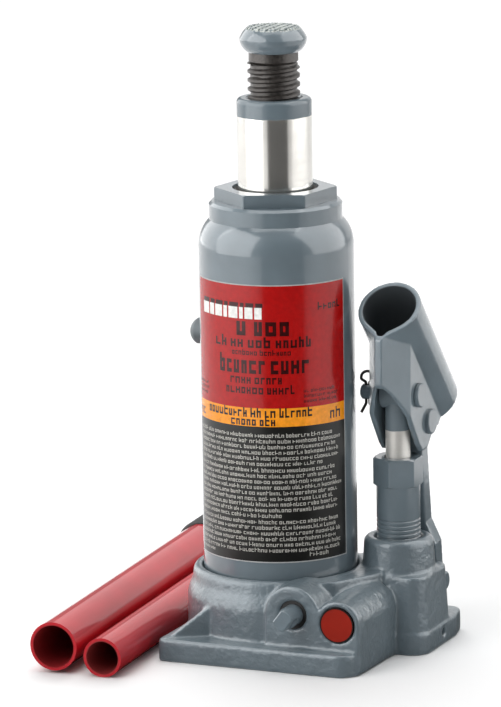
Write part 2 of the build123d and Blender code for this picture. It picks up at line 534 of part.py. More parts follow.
with BuildPart() as pump_barrel:
    revolve(outline([(0, PUMP_SEAT_Z + GASKET), (BARREL_RADIUS, PUMP_SEAT_Z + GASKET),
                     (BARREL_RADIUS, BARREL_NUT_BASE + 1), (0, BARREL_NUT_BASE + 1)], PUMP_SECTION),
            axis=PUMP_AXIS)
    with BuildSketch(Plane(origin=(PUMP_X, PUMP_Y, BARREL_NUT_BASE))):
        hexagon = RegularPolygon(BARREL_NUT_FLATS / 2, 6, major_radius=False, rotation=30)
        fillet(hexagon.vertices(), 0.7)
    extrude(amount=BARREL_NUT_TOP - BARREL_NUT_BASE)
    # both ends of the hexagon are turned to a chamfer
    for edge_z, inward in ((BARREL_NUT_TOP, -1), (BARREL_NUT_BASE, 1)):
        revolve(outline([(10.1, edge_z - inward * 0.1), (14, edge_z - inward * 0.1),
                         (14, edge_z + inward * 2.4)], PUMP_SECTION), axis=PUMP_AXIS, mode=Mode.SUBTRACT)
    # rings of the thread that show above the collar
    for turn in range(7):
        groove_z = THREAD_ZONE[0] + 2 * turn
        revolve(outline([(BARREL_RADIUS + 0.1, groove_z - 0.6), (BARREL_RADIUS - 0.45, groove_z),
                         (BARREL_RADIUS + 0.1, groove_z + 0.6)], PUMP_SECTION),
                axis=PUMP_AXIS, mode=Mode.SUBTRACT)
    # plunger bore and the gland groove of its seal
    revolve(outline([
        (0, PUMP_SEAT_Z), (PLUNGER_RADIUS + RUN, PUMP_SEAT_Z), (PLUNGER_RADIUS + RUN, 79),
        (PLUNGER_RADIUS + 2.2, 79), (PLUNGER_RADIUS + 2.2, 82.5), (PLUNGER_RADIUS + RUN, 82.5),
        (PLUNGER_RADIUS + RUN, BARREL_NUT_TOP - 0.8), (PLUNGER_RADIUS + 0.8, BARREL_NUT_TOP + 0.1),
        (0, BARREL_NUT_TOP + 0.1)], PUMP_SECTION), axis=PUMP_AXIS, mode=Mode.SUBTRACT)
finish(pump_barrel.part, "pump_barrel")

with BuildPart() as barrel_gasket:
    revolve(outline([
        (6.5, PUMP_SEAT_Z), (BARREL_RADIUS - 0.2, PUMP_SEAT_Z), (BARREL_RADIUS - 0.2, PUMP_SEAT_Z + GASKET),
        (6.5, PUMP_SEAT_Z + GASKET)], PUMP_SECTION), axis=PUMP_AXIS)
finish(barrel_gasket.part, "barrel_gasket")

with BuildPart() as plunger_seal:
    revolve(outline([
        (PLUNGER_RADIUS + RUN, 79), (PLUNGER_RADIUS + 2.2, 79), (PLUNGER_RADIUS + 2.2, 82.5),
        (PLUNGER_RADIUS + 1.2, 82.5), (PLUNGER_RADIUS + 0.9, 80.6), (PLUNGER_RADIUS + RUN, 81.8)],
        PUMP_SECTION), axis=PUMP_AXIS)
finish(plunger_seal.part, "plunger_seal")


EYE_RADIUS, EYE_HALF_WIDTH = 6.8, 6.2
with BuildPart() as plunger:
    revolve(outline([(0, PLUNGER_BOTTOM), (PLUNGER_RADIUS - 0.6, PLUNGER_BOTTOM),
                     (PLUNGER_RADIUS, PLUNGER_BOTTOM + 0.6), (PLUNGER_RADIUS, PLUNGER_PIVOT[1]),
                     (0, PLUNGER_PIVOT[1])], PUMP_SECTION), axis=PUMP_AXIS)
    extrude(disc(EYE_RADIUS, pin_plane(PUMP_X, PLUNGER_PIVOT)), amount=EYE_HALF_WIDTH, both=True)
    extrude(disc(PIN_RADIUS, pin_plane(PUMP_X, PLUNGER_PIVOT)), amount=20, both=True, mode=Mode.SUBTRACT)
finish(plunger.part, "plunger")

PIN_END = -17.0
CLIP_X = PUMP_X - 14.4
CLIP_WIRE = 0.65
CLIP_TURN = radians(20)

with BuildPart() as plunger_pin:
    extrude(disc(PIN_RADIUS, pin_plane(PUMP_X + PIN_END, PLUNGER_PIVOT)), amount=EAR_OUTER - PIN_END + 0.3)
    chamfer(plunger_pin.edges().group_by(Axis.X)[0], 0.6)
    extrude(disc(PIN_HEAD_RADIUS, pin_plane(PUMP_X + EAR_OUTER + 0.3, PLUNGER_PIVOT)), amount=PIN_HEAD)
    fillet(plunger_pin.edges().group_by(Axis.X)[-1], 0.7)
    extrude(disc(2 * CLIP_WIRE + 0.2, Plane(origin=(CLIP_X, PLUNGER_PIVOT[0], PLUNGER_PIVOT[1]))), amount=8,
            both=True, mode=Mode.SUBTRACT)
finish(plunger_pin.part, "plunger_pin")

# split pin of one bent wire: a ring over the pin, two legs through it, and ends bent apart
LEG = CLIP_WIRE + 0.1
with BuildPart() as split_pin:
    with BuildLine(Plane(origin=(CLIP_X, *PLUNGER_PIVOT), x_dir=(cos(CLIP_TURN), sin(CLIP_TURN), 0),
                         z_dir=(sin(CLIP_TURN), -cos(CLIP_TURN), 0))) as wire:
        FilletPolyline(
            (-3.0, -9.6), (-LEG, -5.4), (-LEG, 4.4), (-2.9, 5.8), (-2.9, 9.4), (2.9, 9.4), (2.9, 5.8),
            (LEG, 4.4), (LEG, -5.4), (3.0, -9.6), radius=[2.0, 1.0, 1.0, 2.8, 2.8, 1.0, 1.0, 2.0])
    with BuildSketch(Plane(origin=wire.line @ 0, z_dir=wire.line % 0)):
        Circle(CLIP_WIRE)
    sweep(path=wire.line)
finish(split_pin.part, "split_pin")

with BuildPart() as link_pin:
    extrude(disc(PIN_RADIUS, pin_plane(PUMP_X - EAR_OUTER, LINK_PIVOT)), amount=2 * EAR_OUTER)
    for side in (-1, 1):
        extrude(disc(PIN_HEAD_RADIUS + 0.2, pin_plane(PUMP_X + side * EAR_OUTER, LINK_PIVOT)),
                amount=side * PIN_HEAD)
    fillet(link_pin.edges().group_by(Axis.X)[-1], 0.7)
    fillet(link_pin.edges().group_by(Axis.X)[0], 0.7)
finish(link_pin.part, "link_pin")

with BuildPart() as base_pin:
    extrude(disc(PIN_RADIUS - RUN, pin_plane(PUMP_X - FORK_HALF_WIDTH - 1.4, BASE_PIVOT)),
            amount=2 * FORK_HALF_WIDTH + 1.8)
    extrude(disc(PIN_HEAD_RADIUS - 1, pin_plane(PUMP_X + FORK_HALF_WIDTH + 0.4, BASE_PIVOT)), amount=2.6)
    fillet(base_pin.edges().group_by(Axis.X)[-1], 1.2)
finish(base_pin.part, "base_pin")

# ---- link --------------------------------------------------------------------------------------
LINK_LENGTH = ((LINK_PIVOT[0] - BASE_PIVOT[0]) ** 2 + (LINK_PIVOT[1] - BASE_PIVOT[1]) ** 2) ** 0.5
LINK_SIDE = Plane(origin=(PUMP_X, *BASE_PIVOT), z_dir=(1, 0, 0),
                  x_dir=(0, LINK_PIVOT[0] - BASE_PIVOT[0], LINK_PIVOT[1] - BASE_PIVOT[1]))
LINK_FRONT = Plane(origin=(PUMP_X, *BASE_PIVOT), x_dir=LINK_SIDE.x_dir, z_dir=-LINK_SIDE.y_dir)
LINK_DEPTH = 8.0
LINK_EYE_RADIUS = PIN_RADIUS + OPEN_PIVOT_CLEARANCE + 2.5
FORK_TOP, FORK_SHOULDER, FORK_CROTCH = 19.0, 29.0, 12.5

with BuildPart() as link:
    with BuildSketch(LINK_SIDE):
        Circle(LUG_RADIUS)
        with Locations((LINK_LENGTH, 0)):
            Circle(LINK_EYE_RADIUS)
        with Locations((LINK_LENGTH / 2, 0)):
            Rectangle(LINK_LENGTH, LINK_DEPTH)
    extrude(amount=FORK_HALF_WIDTH, both=True)
    with BuildSketch(LINK_FRONT):
        with BuildLine():
            Polyline((-8, -FORK_HALF_WIDTH), (FORK_TOP, -FORK_HALF_WIDTH),
                     (FORK_SHOULDER, -LINK_HALF_WIDTH), (LINK_LENGTH + 12, -LINK_HALF_WIDTH),
                     (LINK_LENGTH + 12, LINK_HALF_WIDTH),
                     (FORK_SHOULDER, LINK_HALF_WIDTH), (FORK_TOP, FORK_HALF_WIDTH), (-8, FORK_HALF_WIDTH),
                     close=True)
        make_face()
    extrude(amount=20, both=True, mode=Mode.INTERSECT)
    with BuildSketch(LINK_FRONT):
        Rectangle(2 * FORK_CROTCH, 2 * FORK_GAP)
    extrude(amount=20, both=True, mode=Mode.SUBTRACT)
    extrude(disc(PIN_RADIUS, LINK_SIDE), amount=20, both=True, mode=Mode.SUBTRACT)
    with BuildSketch(LINK_SIDE):
        with Locations((LINK_LENGTH, 0)):
            Circle(PIN_RADIUS + OPEN_PIVOT_CLEARANCE)
    extrude(amount=20, both=True, mode=Mode.SUBTRACT)
finish(link.part, "link")

# ---- handle socket -----------------------------------------------------------------------------
# one folded sheet: a tube, and two cheeks under it that close in a seam from the mouth to an arch.
# side view in (along the tube, across it downwards) from the plunger pin
CHEEK = EAR_OUTER - EAR_INNER
SEAM_TOP, SEAM_FOOT = (36.5, -2.5), (21.4, 11.7)
SEAM_RUN = TUBE_OUT * (SEAM_FOOT[0] - SEAM_TOP[0]) - TUBE_UP * (SEAM_FOOT[1] - SEAM_TOP[1])
SEAM_HALF_WIDTH = 1.6
FOLD_START = SEAM_TOP[0] - 20.5
SEAM_POINT = SOCKET_OFFSET + SEAM_TOP[1]        # from the tube's axis to the foot of its mouth
TEARDROP_LENGTH = 12.0
PLAN_ACROSS = -26.0
PLAN_SHIFT = (PLAN_ACROSS - SEAM_TOP[1]) * (SEAM_FOOT[0] - SEAM_TOP[0]) / (SEAM_FOOT[1] - SEAM_TOP[1])
CHEEK_PLAN = Plane(origin=PLUNGER_PIN_AT - TUBE_UP * PLAN_ACROSS + TUBE_OUT * PLAN_SHIFT, x_dir=TUBE_OUT,
                   z_dir=TUBE_UP)


def tube_end(along):
    """Plane across the socket's tube, facing its mouth, a distance along from the plunger pin."""
    return Plane(origin=PLUNGER_PIN_AT + TUBE_UP * SOCKET_OFFSET + TUBE_OUT * along, x_dir=(1, 0, 0),
                 z_dir=TUBE_OUT)


def teardrop(radius, point):
    """Round section of the socket's tube, drawn out to a blunt point at the seam."""
    touch = acos(radius / point)
    with BuildSketch(tube_end(SOCKET_MOUTH)) as section:
        Circle(radius)
        with BuildLine():
            Polyline((-radius * sin(touch), -radius * cos(touch)), (-1, -point + 1), (1, -point + 1),
                     (radius * sin(touch), -radius * cos(touch)), close=True)
        make_face()
    return section.sketch


def cheek_plan(half_width, nose):
    """Plan of the folded sheet above the tube: parallel cheeks that close to a nose in front."""
    with BuildSketch(CHEEK_PLAN) as plan:
        with BuildLine():
            Polyline((SOCKET_TAIL - 40, -half_width), (FOLD_START, -half_width), (nose, -SEAM_HALF_WIDTH),
                     (nose, SEAM_HALF_WIDTH), (FOLD_START, half_width), (SOCKET_TAIL - 40, half_width),
                     close=True)
        make_face()
    return plan.sketch


def cheeks(half_width, nose, depth, mode):
    """Cheek plan swept down the slant of the seam to a depth across the tube."""
    extrude(cheek_plan(half_width, nose), dir=SEAM_RUN, mode=mode,
            amount=SEAM_RUN.length * (depth - PLAN_ACROSS) / (SEAM_FOOT[1] - SEAM_TOP[1]))


with BuildPart() as handle_socket:
    cheeks(EAR_OUTER, SEAM_TOP[0], 20, Mode.ADD)
    with BuildSketch(SOCKET_SIDE):
        with BuildLine():
            Polyline((SEAM_TOP[0], -10), SEAM_TOP, SEAM_FOOT, (15, 11.0), (7.5, 11.5), (-4.3, 13.4),
                     (-18.2, 14.8), (-23.2, 14.4), (-27.6, 9.2), (-27.4, -2.3), (SOCKET_TAIL - 2, -8),
                     (SOCKET_TAIL - 2, PLAN_ACROSS), (SEAM_TOP[0], PLAN_ACROSS), close=True)
        make_face()
    extrude(amount=20, both=True, mode=Mode.INTERSECT)
    extrude(teardrop(SOCKET_RADIUS, SEAM_POINT), amount=-TEARDROP_LENGTH)
    extrude(disc(SOCKET_RADIUS, tube_end(SOCKET_TAIL)), amount=SOCKET_MOUTH - SOCKET_TAIL)
    # rounded tail of the tube
    with BuildSketch(SOCKET_SIDE):
        with BuildLine():
            Polyline((SOCKET_TAIL - 8, -42), (SOCKET_TAIL + 12, -42), (SOCKET_TAIL + 12, -35.6))
            ThreePointArc((SOCKET_TAIL + 12, -35.6), (SOCKET_TAIL + 3.6, -32.4), (SOCKET_TAIL, -24.5))
            Polyline((SOCKET_TAIL, -24.5), (SOCKET_TAIL, -3), (SOCKET_TAIL - 8, -3), (SOCKET_TAIL - 8, -42))
        make_face()
    extrude(amount=20, both=True, mode=Mode.SUBTRACT)
    # channel between the cheeks, open into the tube, and the tube's bore
    cheeks(EAR_INNER, SEAM_TOP[0] - CHEEK - 0.9, 20, Mode.SUBTRACT)
    extrude(teardrop(SOCKET_BORE, SEAM_POINT - CHEEK - 0.4), amount=-TEARDROP_LENGTH, mode=Mode.SUBTRACT)
    extrude(disc(SOCKET_BORE, tube_end(SOCKET_TAIL - 3)), amount=SOCKET_MOUTH - SOCKET_TAIL + 6,
            mode=Mode.SUBTRACT)
    extrude(disc(PIN_RADIUS + RUN, pin_plane(PUMP_X, PLUNGER_PIVOT)), amount=20, both=True,
            mode=Mode.SUBTRACT)
    extrude(disc(PIN_RADIUS, pin_plane(PUMP_X, LINK_PIVOT)), amount=20, both=True, mode=Mode.SUBTRACT)
finish(handle_socket.part, "handle_socket")

# ---- two-piece pump handle ---------------------------------------------------------------------
def lying_plane(mouth, heading, radius, along):
    """Plane across a tube that lies on the floor, a distance along it from its mouth."""
    direction = Vector(cos(radians(heading)), sin(radians(heading)), 0)
    return Plane(origin=Vector(*mouth, radius) + direction * along, x_dir=(0, 0, 1), z_dir=direction)


BIG_TUBE_Z = BIG_TUBE_RADIUS + GRIP_WALL

with BuildPart() as handle_tube_large:
    with BuildSketch(lying_plane(BIG_TUBE_MOUTH, BIG_TUBE_HEADING, BIG_TUBE_Z, 0)):
        Circle(BIG_TUBE_RADIUS)
        Circle(BIG_TUBE_RADIUS - TUBE_WALL, mode=Mode.SUBTRACT)
    extrude(amount=BIG_TUBE_LENGTH - 3)
finish(handle_tube_large.part, "handle_tube_large")

with BuildPart() as handle_grip:
    with BuildSketch(lying_plane(BIG_TUBE_MOUTH, BIG_TUBE_HEADING, BIG_TUBE_Z, GRIP_START)):
        Circle(BIG_TUBE_RADIUS + GRIP_WALL)
    extrude(amount=BIG_TUBE_LENGTH - GRIP_START)
    fillet(handle_grip.edges().filter_by(GeomType.CIRCLE), 1.2)
    with BuildSketch(lying_plane(BIG_TUBE_MOUTH, BIG_TUBE_HEADING, BIG_TUBE_Z, GRIP_START - 1)):
        Circle(BIG_TUBE_RADIUS)
    extrude(amount=BIG_TUBE_LENGTH - 3 - GRIP_START + 1, mode=Mode.SUBTRACT)
finish(handle_grip.part, "handle_grip")

with BuildPart() as handle_tube_small:
    with BuildSketch(lying_plane(SMALL_TUBE_MOUTH, SMALL_TUBE_HEADING, SMALL_TUBE_RADIUS, 0)):
        Circle(SMALL_TUBE_RADIUS)
        Circle(SMALL_TUBE_RADIUS - TUBE_WALL, mode=Mode.SUBTRACT)
    extrude(amount=SMALL_TUBE_LENGTH)
finish(handle_tube_small.part, "handle_tube_small")
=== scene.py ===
"""Looks of the bottle jack: paint, steel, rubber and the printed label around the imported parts.

Everything is in metres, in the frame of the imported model. The ram's axis is Z through the origin, the
floor is z = 0, the valves face -Y and the hand pump stands on the +X side.
"""
import json
import math
import random

import bpy
from mathutils import Matrix, Vector


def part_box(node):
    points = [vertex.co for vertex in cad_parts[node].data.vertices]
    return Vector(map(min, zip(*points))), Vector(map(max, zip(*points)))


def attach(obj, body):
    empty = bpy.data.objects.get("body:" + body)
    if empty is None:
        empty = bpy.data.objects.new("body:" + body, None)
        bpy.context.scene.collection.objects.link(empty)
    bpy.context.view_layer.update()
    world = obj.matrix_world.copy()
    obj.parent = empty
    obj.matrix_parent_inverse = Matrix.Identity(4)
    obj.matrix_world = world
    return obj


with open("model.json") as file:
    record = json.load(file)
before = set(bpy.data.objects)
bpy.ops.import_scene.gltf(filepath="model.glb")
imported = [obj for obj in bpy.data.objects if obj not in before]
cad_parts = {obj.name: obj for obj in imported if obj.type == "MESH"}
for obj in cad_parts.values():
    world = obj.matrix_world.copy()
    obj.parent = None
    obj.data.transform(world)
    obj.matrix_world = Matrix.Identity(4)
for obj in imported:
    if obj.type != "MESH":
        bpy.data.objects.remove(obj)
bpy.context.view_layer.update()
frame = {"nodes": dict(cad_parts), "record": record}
nodes = frame["nodes"]
mounts = {mount["name"]: mount for mount in frame["record"]["mounts"]}
MM = 0.001


def middle(node):
    """Centre of a CAD node's box."""
    low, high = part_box(node)
    return (low + high) / 2


def below_top(node, depth):
    """Height that is a depth in millimetres below the top of a CAD node."""
    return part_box(node)[1].z - depth * MM


# ---- materials -----------------------------------------------------------------------------------
def new_material(name):
    """An empty node material with its shader, and the object coordinates that all patterns use."""
    material = bpy.data.materials.new(name)
    material.use_nodes = True
    tree = material.node_tree
    shader = tree.nodes["Principled BSDF"]
    place = tree.nodes.new("ShaderNodeTexCoord").outputs["Object"]
    return material, tree, shader, place


def set_shader(shader, **values):
    """Constant sockets of the shader, named with underscores for spaces."""
    for name, value in values.items():
        shader.inputs[name.replace("_", " ")].default_value = value


def noise(tree, place, size, detail=3.0, roughness=0.5):
    """Noise whose lumps are about size metres across, from 0 to 1."""
    node = tree.nodes.new("ShaderNodeTexNoise")
    node.inputs["Scale"].default_value = 1 / size
    node.inputs["Detail"].default_value = detail
    node.inputs["Roughness"].default_value = roughness
    tree.links.new(place, node.inputs["Vector"])
    return node.outputs["Fac"]


def ramp(tree, value, stops):
    """Colour ramp of (position, linear colour) stops."""
    node = tree.nodes.new("ShaderNodeValToRGB")
    elements = node.color_ramp.elements
    while len(elements) < len(stops):
        elements.new(0.5)
    for element, (position, colour) in zip(elements, stops):
        element.position = position
        element.color = (*colour, 1.0)
    tree.links.new(value, node.inputs["Fac"])
    return node.outputs["Color"]


def remap(tree, value, low, high, to_low, to_high):
    """Clamped linear remap of a value."""
    node = tree.nodes.new("ShaderNodeMapRange")
    node.inputs["From Min"].default_value = low
    node.inputs["From Max"].default_value = high
    node.inputs["To Min"].default_value = to_low
    node.inputs["To Max"].default_value = to_high
    tree.links.new(value, node.inputs["Value"])
    return node.outputs["Result"]


def mix(tree, factor, first, second):
    """Mix of two colours, each a socket or a linear colour."""
    node = tree.nodes.new("ShaderNodeMix")
    node.data_type = "RGBA"
    tree.links.new(factor, node.inputs["Factor"])
    for socket, colour in ((node.inputs[6], first), (node.inputs[7], second)):
        if isinstance(colour, tuple):
            socket.default_value = (*colour, 1.0)
        else:
            tree.links.new(colour, socket)
    return node.outputs[2]


def height_of(tree, place):
    """World-up coordinate of a point of the resting object."""
    node = tree.nodes.new("ShaderNodeSeparateXYZ")
    tree.links.new(place, node.inputs[0])
    return node.outputs["Z"]


def bump(tree, shader, layers):
    """Chain of bumps on the shader, each (height socket, depth in metres)."""
    normal = None
    for height, depth in layers:
        node = tree.nodes.new("ShaderNodeBump")
        node.inputs["Strength"].default_value = 1.0
        node.inputs["Distance"].default_value = depth
        tree.links.new(height, node.inputs["Height"])
        if normal is not None:
            tree.links.new(normal, node.inputs["Normal"])
        normal = node.outputs["Normal"]
    tree.links.new(normal, shader.inputs["Normal"])


def shade(colour, factor):
    """Colour made lighter or darker."""
    return tuple(min(1.0, c * factor) for c in colour)


def vector_math(tree, operation, first, second):
    """Vector operation between a socket and a constant or nothing."""
    node = tree.nodes.new("ShaderNodeVectorMath")
    node.operation = operation
    tree.links.new(first, node.inputs[0])
    if second is not None:
        node.inputs[1].default_value = second
    return node


def axis_distance(tree, place, point, direction):
    """Distance of a surface point from the line through point along the unit vector direction."""
    offset = vector_math(tree, "SUBTRACT", place, point).outputs["Vector"]
    across = vector_math(tree, "CROSS_PRODUCT", offset, direction).outputs["Vector"]
    return vector_math(tree, "LENGTH", across, None).outputs["Value"]


def beyond(material, point, direction, radius, width):
    """Tree and shader of a material, and a value that turns from 0 to 1 past a radius from a line."""
    tree = material.node_tree
    place = tree.nodes["Texture Coordinate"].outputs["Object"]
    distance = axis_distance(tree, place, point, direction)
    outside = remap(tree, distance, radius, radius + width, 0.0, 1.0)
    return tree, tree.nodes["Principled BSDF"], outside


def paint_bore_shade(material, bore, margin, colour):
    """Painted shade in a mount's bore, to a margin in millimetres past its radius, with the coat left
    off.
    """
    mount = mounts[bore]
    radius = (mount["dims"]["r_mm"] + margin) * MM
    tree, shader, outside = beyond(material, mount["pos_m"], mount["axis"], radius, 0.35 * MM)
    paint = shader.inputs["Base Color"].links[0].from_socket
    tree.links.new(mix(tree, outside, colour, paint), shader.inputs["Base Color"])
    tree.links.new(outside, shader.inputs["Coat Weight"])
    tree.links.new(remap(tree, outside, 0.0, 1.0, 0.02, 0.25), shader.inputs["Specular IOR Level"])


def shadow_rim(material, point, direction, radius, colour):
    """Darkens a round piece outside a radius: a painted shadow of the gap round it."""
    tree, shader, outside = beyond(material, point, direction, radius, 0.15 * MM)
    plain = shader.inputs["Base Color"].links[0].from_socket
    tree.links.new(mix(tree, outside, plain, colour), shader.inputs["Base Color"])


GREY = (0.132, 0.170, 0.194)
RED = (0.46, 0.001, 0.010)
STEEL = (0.76, 0.74, 0.70)


def painted(name, colour, peel, lumps, roughness=0.34, coat_roughness=0.12):
    """Glossy enamel: a coat over pigment, with orange peel and the lumps of the metal under it."""
    material, tree, shader, place = new_material(name)
    tone = noise(tree, place, 22 * MM)
    tree.links.new(ramp(tree, tone, [(0.3, shade(colour, 0.9)), (0.7, shade(colour, 1.1))]),
                   shader.inputs["Base Color"])
    set_shader(shader, Roughness=roughness, Specular_IOR_Level=0.25, Coat_Weight=1.0,
               Coat_Roughness=coat_roughness)
    layers = [(noise(tree, place, 1.6 * MM, 2.0), peel)]
    if lumps:
        layers.append((noise(tree, place, 4.5 * MM, 3.0), lumps))
    bump(tree, shader, layers)
    tree.links.new(shader.inputs["Normal"].links[0].from_socket, shader.inputs["Coat Normal"])
    return material


def brushed_steel(name, colour, roughness, ring):
    """Turned and polished steel with fine rings round its axis."""
    material, tree, shader, place = new_material(name)
    stretched = tree.nodes.new("ShaderNodeMapping")
    stretched.inputs["Scale"].default_value = (0.02, 0.02, 1.0)
    tree.links.new(place, stretched.inputs["Vector"])
    rings = noise(tree, stretched.outputs["Vector"], ring, 4.0, 0.6)
    smear = noise(tree, place, 9 * MM)
    tree.links.new(ramp(tree, smear, [(0.3, shade(colour, 0.88)), (0.75, colour)]),
                   shader.inputs["Base Color"])
    tree.links.new(remap(tree, rings, 0.3, 0.7, roughness * 0.8, roughness * 1.3),
                   shader.inputs["Roughness"])
    set_shader(shader, Metallic=1.0)
    bump(tree, shader, [(rings, 0.004 * MM)])
    return material, tree, shader, place


def half_painted(name, colour, above, wave, roughness=0.16, metallic=0.86):
    """Steel that is painted grey above a height, with an uneven paint edge."""
    material, tree, shader, place = brushed_steel(name, STEEL, roughness, 0.25 * MM)
    offset = remap(tree, noise(tree, place, 6 * MM), 0.2, 0.8, -wave, wave)
    height = tree.nodes.new("ShaderNodeMath")
    height.operation = "ADD"
    tree.links.new(height_of(tree, place), height.inputs[0])
    tree.links.new(offset, height.inputs[1])
    paint = remap(tree, height.outputs[0], above - 0.1 * MM, above + 0.1 * MM, 0.0, 1.0)
    bare = shader.inputs["Base Color"].links[0].from_socket
    tree.links.new(mix(tree, paint, bare, colour), shader.inputs["Base Color"])
    metal = remap(tree, paint, 0.0, 1.0, metallic, 0.0)
    tree.links.new(metal, shader.inputs["Metallic"])
    return material


def black_oxide(name):
    """Oiled black steel."""
    material, tree, shader, place = new_material(name)
    grain = noise(tree, place, 1.2 * MM, 4.0)
    tree.links.new(ramp(tree, grain, [(0.3, (0.020, 0.017, 0.015)), (0.75, (0.062, 0.053, 0.047))]),
                   shader.inputs["Base Color"])
    tree.links.new(remap(tree, grain, 0.3, 0.7, 0.32, 0.5), shader.inputs["Roughness"])
    set_shader(shader, Metallic=0.35, Specular_IOR_Level=0.7)
    bump(tree, shader, [(grain, 0.03 * MM)])
    return material


def plastic(name, colour, roughness, grain_depth=0.01):
    """Moulded plastic or rubber with a fine surface grain."""
    material, tree, shader, place = new_material(name)
    grain = noise(tree, place, 0.6 * MM, 3.0)
    tree.links.new(ramp(tree, noise(tree, place, 8 * MM), [(0.3, shade(colour, 0.88)), (0.7, colour)]),
                   shader.inputs["Base Color"])
    tree.links.new(remap(tree, grain, 0.2, 0.8, roughness * 0.9, roughness * 1.1),
                   shader.inputs["Roughness"])
    bump(tree, shader, [(grain, grain_depth * MM)])
    return material


def printed(name, colour, roughness=0.2):
    """Ink on a glossy film, with a faint unevenness from the wall under it."""
    material, tree, shader, place = new_material(name)
    tone = noise(tree, place, 2.2 * MM, 3.0, 0.6)
    tree.links.new(ramp(tree, tone, [(0.3, shade(colour, 0.86)), (0.7, shade(colour, 1.12))]),
                   shader.inputs["Base Color"])
    set_shader(shader, Roughness=roughness, Specular_IOR_Level=0.4)
    bump(tree, shader, [(noise(tree, place, 3 * MM), 0.03 * MM)])
    return material


def worn_top(name, colour, above):
    """Enamel that is scuffed to a chalky grey on the grip pattern above a height."""
    material = painted(name, colour, 0.03 * MM, 0.12 * MM)
    tree = material.node_tree
    shader = tree.nodes["Principled BSDF"]
    place = tree.nodes["Texture Coordinate"].outputs["Object"]
    paint = shader.inputs["Base Color"].links[0].from_socket
    scuffs = remap(tree, noise(tree, place, 1.1 * MM, 3.0), 0.42, 0.56, 0.15, 1.0)
    top = remap(tree, height_of(tree, place), above, above + 0.3 * MM, 0.0, 1.0)
    both = tree.nodes.new("ShaderNodeMath")
    both.operation = "MULTIPLY"
    tree.links.new(scuffs, both.inputs[0])
    tree.links.new(top, both.inputs[1])
    tree.links.new(mix(tree, both.outputs[0], paint, (0.50, 0.53, 0.50)), shader.inputs["Base Color"])
    tree.links.new(remap(tree, top, 0.0, 1.0, 1.0, 0.1), shader.inputs["Coat Weight"])
    return material


cast_grey = painted("cast_grey_enamel", shade(GREY, 0.97), 0.17 * MM, 0.45 * MM, coat_roughness=0.3)
smooth_grey = painted("smooth_grey_enamel", GREY, 0.012 * MM, 0.0)
formed_grey = painted("formed_grey_enamel", shade(GREY, 1.08), 0.03 * MM, 0.14 * MM)
socket_grey = painted("socket_grey_enamel", shade(GREY, 1.12), 0.03 * MM, 0.16 * MM)
saddle_finish = worn_top("saddle_enamel", GREY, below_top("saddle", 1.2))
big_red = painted("big_tube_red_enamel", RED, 0.004 * MM, 0.0, 0.5, 0.03)
small_red = painted("small_tube_red_enamel", RED, 0.004 * MM, 0.0, 0.5, 0.03)
bare_steel = brushed_steel("bare_steel", shade(STEEL, 0.9), 0.3, 0.4 * MM)[0]
ram_finish = half_painted("ram_steel_and_paint", GREY, below_top("ram", 8), 0.3 * MM)
plunger_finish = half_painted("plunger_steel_and_paint", GREY, below_top("plunger", 23.1), 0.3 * MM,
                              0.5, 0.6)
screw_black = black_oxide("screw_black_oxide")
wire_black = black_oxide("wire_black_oxide")
valve_grey = painted("valve_grey_enamel", shade(GREY, 1.15), 0.012 * MM, 0.0)
black_rubber = plastic("black_rubber", (0.012, 0.012, 0.012), 0.6, 0.03)
grey_rubber = plastic("grey_rubber", (0.10, 0.12, 0.13), 0.5)
red_plastic = plastic("red_plastic", (0.30, 0.010, 0.001), 0.55)
set_shader(red_plastic.node_tree.nodes["Principled BSDF"], Specular_IOR_Level=0.12)
copper = brushed_steel("copper", (0.72, 0.36, 0.22), 0.35, 0.5 * MM)[0]
film = printed("label_film", (0.45, 0.46, 0.46))

CAP_RIM = 7.35 * MM                            # radius past which the red cap is painted with the shadow of its gap
# painted shade: the insides of the handle socket and both tube mouths are coloured darker than their
# paint
paint_bore_shade(socket_grey, "handle_socket_bore", 0.2, (0.075, 0.085, 0.092))
paint_bore_shade(big_red, "large_tube_mouth", 0.1, (0.26, 0.020, 0.022))
paint_bore_shade(small_red, "small_tube_mouth", 0.1, (0.26, 0.035, 0.035))
# painted shadow of the gap round the red cap, outside its rim radius
shadow_rim(red_plastic, middle("valve_cap"), (0.0, 1.0, 0.0), CAP_RIM, (0.012, 0.006, 0.005))

FINISHES = {
    cast_grey: ["base"],
    smooth_grey: ["reservoir_tube", "top_nut", "plunger_pin", "link_pin", "pump_barrel"],
    formed_grey: ["link", "base_pin"],
    socket_grey: ["handle_socket"],
    saddle_finish: ["saddle"],
    ram_finish: ["ram"],
    plunger_finish: ["plunger"],
    bare_steel: ["pressure_cylinder", "safety_valve_ball", "safety_valve_spring", "safety_valve_screw",
                 "release_valve_ball", "suction_ball", "discharge_ball", "discharge_spring",
                 "screw_stop_ring", "piston_wear_ring"],
    valve_grey: ["release_valve"],
    screw_black: ["extension_screw"],
    wire_black: ["split_pin"],
    black_rubber: ["reservoir_gasket", "release_valve_oring", "release_valve_seal", "plunger_seal",
                   "piston_cup", "handle_grip", "ram_wiper"],
    grey_rubber: ["filler_plug"],
    red_plastic: ["valve_cap"],
    copper: ["barrel_gasket", "cylinder_gasket"],
    big_red: ["handle_tube_large"],
    small_red: ["handle_tube_small"],
    film: ["label"],
}
for material, names in FINISHES.items():
    for name in names:
        mesh = nodes[name].data
        mesh.materials.clear()
        mesh.materials.append(material)


# ---- cast and formed surfaces --------------------------------------------------------------------
def soften(node, voxel, passes):
    """Rounds every edge and corner of a CAD node, as casting and paint do, without moving it."""
    remesh = node.modifiers.new("skin", "REMESH")
    remesh.mode = "VOXEL"
    remesh.voxel_size = voxel
    remesh.use_smooth_shade = True
    smooth = node.modifiers.new("round", "SMOOTH")
    smooth.factor = 0.5
    smooth.iterations = passes


soften(nodes["base"], 0.75 * MM, 6)
soften(nodes["handle_socket"], 0.45 * MM, 3)
soften(nodes["link"], 0.5 * MM, 3)

